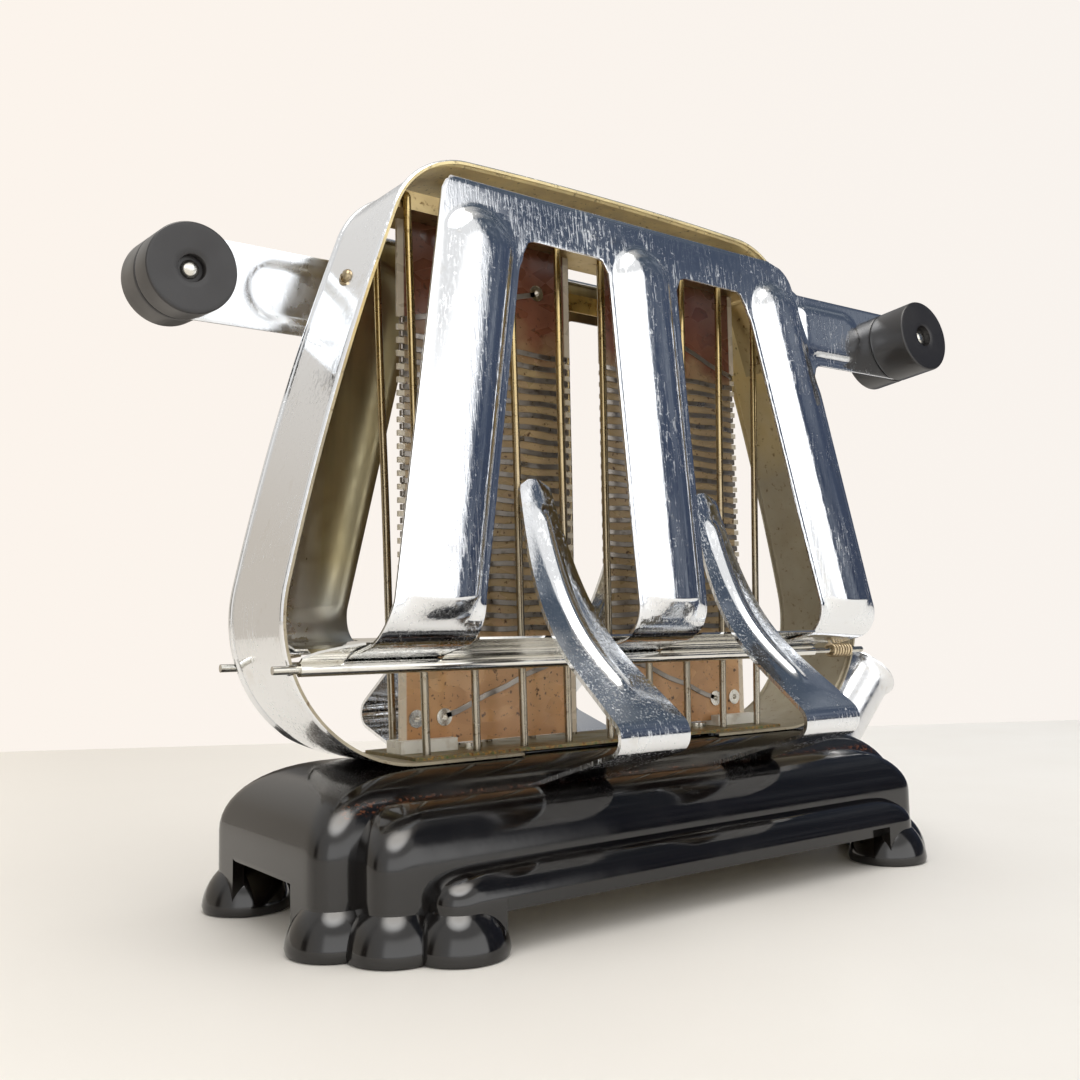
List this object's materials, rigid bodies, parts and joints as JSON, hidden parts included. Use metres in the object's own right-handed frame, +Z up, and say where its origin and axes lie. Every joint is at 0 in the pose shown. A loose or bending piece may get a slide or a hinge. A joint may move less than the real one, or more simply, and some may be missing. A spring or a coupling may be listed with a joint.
{
  "type": "drop side toaster",
  "caption": "Electric toaster with a chromed hoop frame on a moulded toed base, hinged drop-down side doors with knobs, ribbon-wound mica cards, guard wires and a round-pin inlet.",
  "frame": {"origin": "middle of the footprint on the table, under the middle of the base", "axes": "+X along the base towards the inlet, -Y towards the front door, +Z up"},
  "size_m": [0.2348, 0.118, 0.1837],
  "materials": {
    "base_moulding": "gloss",
    "knob_moulding": "satin",
    "chromed_sheet": "polished",
    "dull_steel": "dull, heat stained",
    "bright_steel": "satin",
    "spring_steel": "copper-coloured",
    "mica": "satin",
    "resistance_ribbon": "oxidised",
    "brass": "satin",
    "guard_wire": "heat tinted",
    "white_ceramic": "matt",
    "collar_aluminium": "satin"
  },
  "bodies": {
    "base_frame": {"base_shell": "base_moulding", "base_cover": "dull_steel", "cover_screws": "bright_steel", "sole_plate": "dull_steel", "frame_band": "chromed_sheet", "frame_screws": "bright_steel", "frame_bolts": "bright_steel", "frame_nuts": "bright_steel", "top_channel": "dull_steel", "card_left": "mica", "card_right": "mica", "winding_left": "resistance_ribbon", "winding_right": "resistance_ribbon", "terminal_eyelets": "brass", "top_link": "brass", "supply_strip_left": "brass", "supply_strip_right": "brass", "ceramic_block_left": "white_ceramic", "ceramic_block_right": "white_ceramic", "guard_wires_front": "guard_wire", "guard_wires_rear": "guard_wire", "hinge_rod_front": "bright_steel", "hinge_rod_rear": "bright_steel", "front_spring": "spring_steel", "rear_spring": "spring_steel", "finger_front_left": "chromed_sheet", "finger_front_right": "chromed_sheet", "finger_rear_left": "chromed_sheet", "finger_rear_right": "chromed_sheet", "finger_screws": "bright_steel", "inlet_collar": "collar_aluminium", "inlet_insulator": "white_ceramic", "inlet_pins": "brass", "inlet_screws": "bright_steel"},
    "front_door": {"front_door": "chromed_sheet", "front_ledge": "dull_steel", "front_knob_outer": "knob_moulding", "front_knob_inner": "knob_moulding", "front_knob_rivet": "bright_steel"},
    "rear_door": {"rear_door": "chromed_sheet", "rear_ledge": "dull_steel", "rear_knob_outer": "knob_moulding", "rear_knob_inner": "knob_moulding", "rear_knob_rivet": "bright_steel"}
  },
  "joints": [
    {"name": "front_door_hinge", "type": "hinge", "parent": "base_frame", "child": "front_door", "pos_m": [0, -0.015, 0.058], "axis": [1, 0, 0], "range_deg": [0, 100], "stiffness_Nm_per_rad": 0.06, "springref_deg": -57.3, "deforming": ["front_spring"]},
    {"name": "rear_door_hinge", "type": "hinge", "parent": "base_frame", "child": "rear_door", "pos_m": [0, 0.015, 0.058], "axis": [-1, 0, 0], "range_deg": [0, 100], "stiffness_Nm_per_rad": 0.06, "springref_deg": -57.3, "deforming": ["rear_spring"]}
  ]
}
